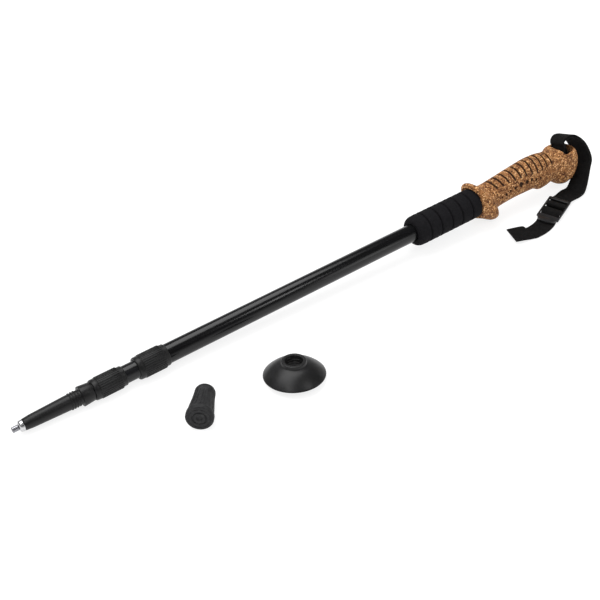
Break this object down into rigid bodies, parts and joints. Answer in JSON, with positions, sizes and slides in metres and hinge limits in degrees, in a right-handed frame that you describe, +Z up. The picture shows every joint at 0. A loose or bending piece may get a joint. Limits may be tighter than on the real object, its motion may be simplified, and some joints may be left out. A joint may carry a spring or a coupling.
{
  "type": "nordic walking pole",
  "caption": "Telescopic walking pole, collapsed, with twist-lock tubes, cork grip, foam sleeve, webbing wrist strap, threaded ferrule, loose basket and rubber cap.",
  "frame": {"origin": "on the ground under the middle of the whole set's bounding box", "axes": "+X along the pole from its tip towards the handle, +Y away from the basket and the rubber cap, +Z up from the ground it lies on"},
  "size_m": [0.6801, 0.1291, 0.0597],
  "materials": {
    "basket": "satin moulded nylon",
    "cap_washer": "plain steel",
    "cork_grip": "crushed cork, bonded and sanded",
    "foam_sleeve": "black closed-cell foam",
    "grip_side_plug": "crushed cork, bonded and sanded",
    "lower_expander_cone": "grey nylon",
    "lower_expander_sleeve": "grey nylon",
    "lower_joint_collar": "satin moulded nylon",
    "lower_plug": "grey nylon",
    "lower_stop_nut": "plain steel",
    "lower_stud": "plain steel",
    "lower_tube": "black anodised",
    "middle_expander_cone": "grey nylon",
    "middle_expander_sleeve": "grey nylon",
    "middle_plug": "grey nylon",
    "middle_stop_nut": "plain steel",
    "middle_stud": "plain steel",
    "middle_tube": "black anodised",
    "rubber_cap": "dull black rubber",
    "strap_buckle": "satin moulded nylon",
    "strap_pin": "plain steel",
    "tip_bit": "ground hard metal",
    "tip_ferrule": "satin moulded nylon",
    "tip_holder": "plain steel",
    "tube_end_plug": "grey nylon",
    "upper_joint_collar": "satin moulded nylon",
    "upper_tube": "glossy black anodised",
    "wrist_strap": "woven polyester webbing"
  },
  "bodies": {
    "handle": {"cork_grip": "cork_grip", "grip_side_plug": "grip_side_plug", "strap_pin": "strap_pin", "tube_end_plug": "tube_end_plug", "foam_sleeve": "foam_sleeve", "upper_tube": "upper_tube", "upper_joint_collar": "upper_joint_collar", "wrist_strap": "wrist_strap", "strap_buckle": "strap_buckle"},
    "middle_expander": {"middle_expander_sleeve": "middle_expander_sleeve"},
    "middle_cone": {"middle_expander_cone": "middle_expander_cone"},
    "middle_section": {"middle_tube": "middle_tube", "middle_plug": "middle_plug", "middle_stud": "middle_stud", "middle_stop_nut": "middle_stop_nut", "lower_joint_collar": "lower_joint_collar"},
    "lower_expander": {"lower_expander_sleeve": "lower_expander_sleeve"},
    "lower_cone": {"lower_expander_cone": "lower_expander_cone"},
    "lower_section": {"lower_tube": "lower_tube", "lower_plug": "lower_plug", "lower_stud": "lower_stud", "lower_stop_nut": "lower_stop_nut", "tip_ferrule": "tip_ferrule", "tip_holder": "tip_holder", "tip_bit": "tip_bit"},
    "loose_basket": {"basket": "basket"},
    "loose_cap": {"rubber_cap": "rubber_cap", "cap_washer": "cap_washer"}
  },
  "joints": [
    {"name": "middle_slide", "type": "slide", "parent": "handle", "child": "middle_expander", "axis": [-0.9993, 0, -0.0365], "range_m": [0, 0.34]},
    {"name": "middle_twist", "type": "hinge", "parent": "middle_expander", "child": "middle_section", "pos_m": [-0.34, 0.0433, 0.00703], "axis": [-0.9993, 0, -0.0365], "range_deg": [0, 540]},
    {"name": "middle_cone_travel", "type": "slide", "parent": "middle_expander", "child": "middle_cone", "axis": [-0.9993, 0, -0.0365], "range_m": [0, 0.0016]},
    {"name": "lower_slide", "type": "slide", "parent": "middle_section", "child": "lower_expander", "axis": [-0.9993, 0, -0.0365], "range_m": [0, 0.34]},
    {"name": "lower_twist", "type": "hinge", "parent": "lower_expander", "child": "lower_section", "pos_m": [-0.34, 0.0433, 0.00703], "axis": [-0.9993, 0, -0.0365], "range_deg": [0, 540]},
    {"name": "lower_cone_travel", "type": "slide", "parent": "lower_expander", "child": "lower_cone", "axis": [-0.9993, 0, -0.0365], "range_m": [0, 0.0016]},
    {"name": "basket_lift", "type": "slide", "parent": "handle", "child": "loose_basket", "axis": [0, 0, 1], "range_m": [0, 0.12]},
    {"name": "rubber_cap_lift", "type": "slide", "parent": "handle", "child": "loose_cap", "axis": [0, 0, 1], "range_m": [0, 0.12]}
  ],
  "couplings": [
    {"joint": "middle_cone_travel", "follows": "middle_twist", "m_per_rad": 0.00015915},
    {"joint": "lower_cone_travel", "follows": "lower_twist", "m_per_rad": 0.00015915}
  ]
}
